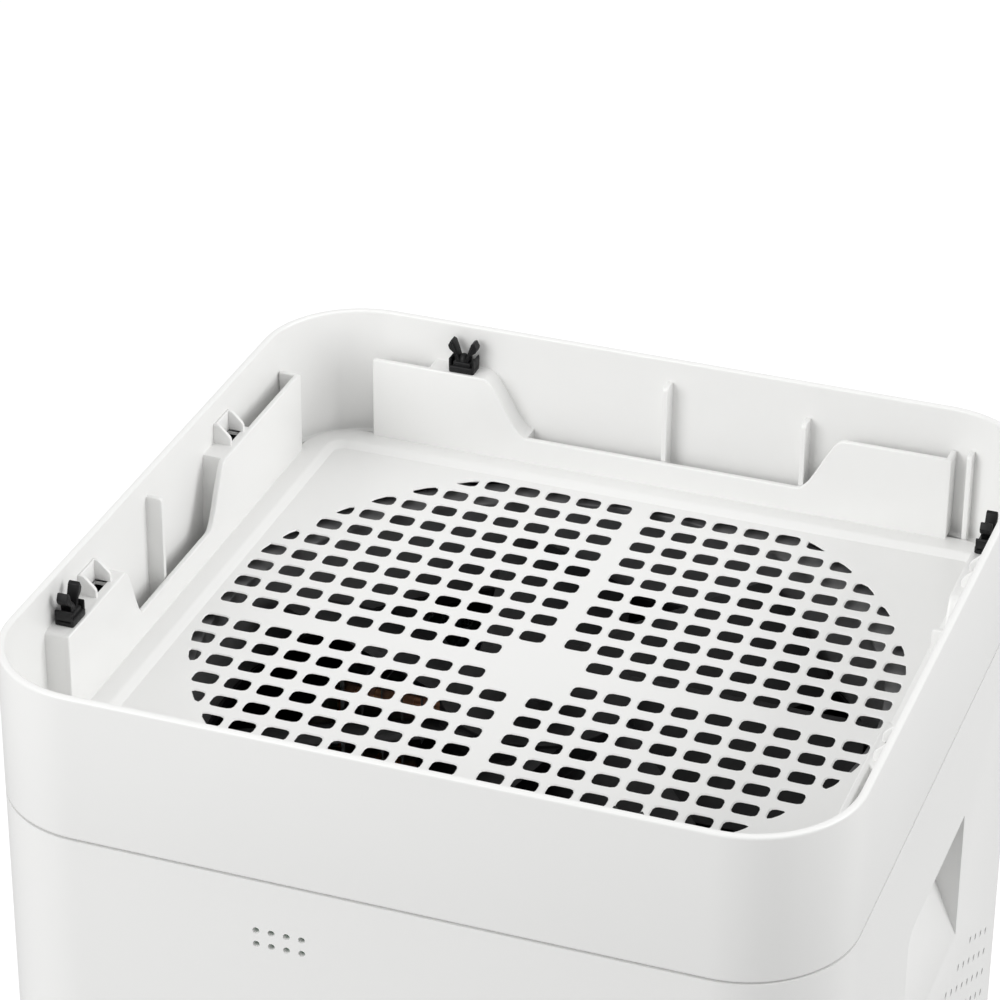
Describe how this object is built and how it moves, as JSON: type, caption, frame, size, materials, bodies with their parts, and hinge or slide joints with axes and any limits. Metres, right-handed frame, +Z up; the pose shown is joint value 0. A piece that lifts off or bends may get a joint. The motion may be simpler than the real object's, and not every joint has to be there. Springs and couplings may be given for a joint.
{
  "type": "dehumidifier",
  "caption": "Upright compressor dehumidifier on castors with a slide-out water tank and a top outlet grille under a lift-off cover, shown with the cover off.",
  "frame": {"origin": "centre of the floor footprint, on the floor under the castor wheels", "axes": "+Z up, -Y out of the front with the water tank, +X to the right seen from the front"},
  "size_m": [0.29, 0.29, 0.56],
  "materials": {
    "white_shell": "satin gloss white ABS",
    "black_clip": "black nylon",
    "grey_plastic": "light grey moulded plastic",
    "dark_plastic": "charcoal moulded plastic",
    "filter_net": "fine nylon net",
    "zinc_steel": "zinc plated",
    "copper": "drawn copper tube",
    "fin_aluminium": "pressed fin stock",
    "black_paint": "black enamel",
    "motor_steel": "grey lacquered steel",
    "black_rubber": "soft rubber",
    "tank_plastic": "translucent milky polypropylene",
    "window_plastic": "clear tinted plastic",
    "float_foam": "off-white foam",
    "circuit_green": "solder mask",
    "ring_grey": "mid grey moulded plastic"
  },
  "bodies": {
    "chassis": {"top_collar": "white_shell", "grille_deck": "white_shell", "upstanding_plates": "white_shell", "cover_bosses": "white_shell", "tab_catches": "black_clip", "cover_clips": "black_clip", "body_shell": "white_shell", "rear_panel": "white_shell", "rear_screws": "zinc_steel", "fan_ring": "ring_grey", "motor_bracket": "dark_plastic", "fan_motor": "motor_steel", "condenser_fins": "fin_aluminium", "condenser_tubes": "copper", "evaporator_fins": "fin_aluminium", "evaporator_tubes": "copper", "compressor": "black_paint", "compressor_mounts": "black_rubber", "suction_accumulator": "black_paint", "discharge_pipe": "copper", "liquid_pipe": "copper", "suction_pipe": "copper", "drip_tray": "grey_plastic", "tank_bay": "grey_plastic", "base_pan": "dark_plastic", "level_sensor": "dark_plastic", "control_box": "grey_plastic", "control_box_lid": "grey_plastic", "circuit_board": "circuit_green", "run_capacitor": "grey_plastic", "humidity_sensor": "circuit_green", "power_inlet": "dark_plastic"},
    "impeller": {"fan_impeller": "dark_plastic", "fan_shaft": "zinc_steel", "impeller_nut": "zinc_steel"},
    "tank": {"water_tank": "tank_plastic", "tank_front_panel": "white_shell", "level_window": "window_plastic", "float_pin": "zinc_steel"},
    "lid": {"tank_lid": "grey_plastic"},
    "float": {"tank_float": "float_foam"},
    "filter_cassette": {"intake_grille": "white_shell", "filter_frame": "grey_plastic", "filter_mesh": "filter_net"},
    "drain_plug": {"drain_cap": "black_rubber"},
    "castor_front_left": {"castor_fork_front_left": "zinc_steel"},
    "wheel_front_left": {"castor_wheel_front_left": "black_rubber"},
    "castor_front_right": {"castor_fork_front_right": "zinc_steel"},
    "wheel_front_right": {"castor_wheel_front_right": "black_rubber"},
    "castor_back_left": {"castor_fork_back_left": "zinc_steel"},
    "wheel_back_left": {"castor_wheel_back_left": "black_rubber"},
    "castor_back_right": {"castor_fork_back_right": "zinc_steel"},
    "wheel_back_right": {"castor_wheel_back_right": "black_rubber"}
  },
  "joints": [
    {"name": "fan_spin", "type": "hinge", "parent": "chassis", "child": "impeller", "pos_m": [0, 0.003, 0.4853], "axis": [0, 0, 1], "continuous": true},
    {"name": "tank_slide", "type": "slide", "parent": "chassis", "child": "tank", "axis": [0, -1, 0], "range_m": [0, 0.18]},
    {"name": "tank_lid_lift", "type": "slide", "parent": "tank", "child": "lid", "axis": [0, 0, 1], "range_m": [0, 0.012]},
    {"name": "float_swing", "type": "hinge", "parent": "tank", "child": "float", "pos_m": [0.078, 0.012, 0.172], "axis": [-1, 0, 0], "range_deg": [0, 30]},
    {"name": "filter_pull", "type": "slide", "parent": "chassis", "child": "filter_cassette", "axis": [0, 1, 0], "range_m": [0, 0.05]},
    {"name": "drain_cap_pull", "type": "slide", "parent": "chassis", "child": "drain_plug", "axis": [0, 1, 0], "range_m": [0, 0.016]},
    {"name": "castor_swivel_front_left", "type": "hinge", "parent": "chassis", "child": "castor_front_left", "pos_m": [-0.1, -0.1, 0.038], "axis": [0, 0, 1], "continuous": true},
    {"name": "castor_roll_front_left", "type": "hinge", "parent": "castor_front_left", "child": "wheel_front_left", "pos_m": [-0.1, -0.092, 0.015], "axis": [1, 0, 0], "continuous": true},
    {"name": "castor_swivel_front_right", "type": "hinge", "parent": "chassis", "child": "castor_front_right", "pos_m": [0.1, -0.1, 0.038], "axis": [0, 0, 1], "continuous": true},
    {"name": "castor_roll_front_right", "type": "hinge", "parent": "castor_front_right", "child": "wheel_front_right", "pos_m": [0.1, -0.092, 0.015], "axis": [1, 0, 0], "continuous": true},
    {"name": "castor_swivel_back_left", "type": "hinge", "parent": "chassis", "child": "castor_back_left", "pos_m": [-0.1, 0.1, 0.038], "axis": [0, 0, 1], "continuous": true},
    {"name": "castor_roll_back_left", "type": "hinge", "parent": "castor_back_left", "child": "wheel_back_left", "pos_m": [-0.1, 0.108, 0.015], "axis": [1, 0, 0], "continuous": true},
    {"name": "castor_swivel_back_right", "type": "hinge", "parent": "chassis", "child": "castor_back_right", "pos_m": [0.1, 0.1, 0.038], "axis": [0, 0, 1], "continuous": true},
    {"name": "castor_roll_back_right", "type": "hinge", "parent": "castor_back_right", "child": "wheel_back_right", "pos_m": [0.1, 0.108, 0.015], "axis": [1, 0, 0], "continuous": true}
  ]
}
